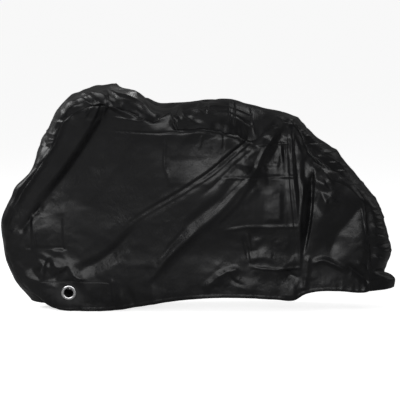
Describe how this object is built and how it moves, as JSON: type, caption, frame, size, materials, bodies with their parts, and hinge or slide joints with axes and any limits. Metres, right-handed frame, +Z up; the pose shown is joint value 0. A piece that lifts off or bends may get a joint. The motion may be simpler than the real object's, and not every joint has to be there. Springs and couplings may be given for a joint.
{
  "type": "bicycle cover",
  "caption": "Fitted black cloth cover for a whole bicycle, draped from handlebar and saddle to an open hem, with an eyelet in each side's front hem for a lock.",
  "frame": {"origin": "middle of the cover's length and width, at the level of the hem's lowest point", "axes": "+X towards the rear wheel, +Y towards the bicycle's right side, +Z up"},
  "size_m": [2.0017, 0.5982, 1.1031],
  "materials": {
    "cover_cloth": "black coated plain-weave nylon, soft gloss, sharp packing creases",
    "patch_cloth": "the same cloth, doubled and stitched round",
    "eyelet_metal": "bright nickel plating, pressed",
    "washer_metal": "bright nickel plating, flat"
  },
  "bodies": {
    "root": {"centre_gusset": "cover_cloth", "left_panel": "cover_cloth", "right_panel": "cover_cloth", "left_patch": "patch_cloth", "right_patch": "patch_cloth", "left_eyelet": "eyelet_metal", "right_eyelet": "eyelet_metal", "left_washer": "washer_metal", "right_washer": "washer_metal"}
  },
  "joints": []
}
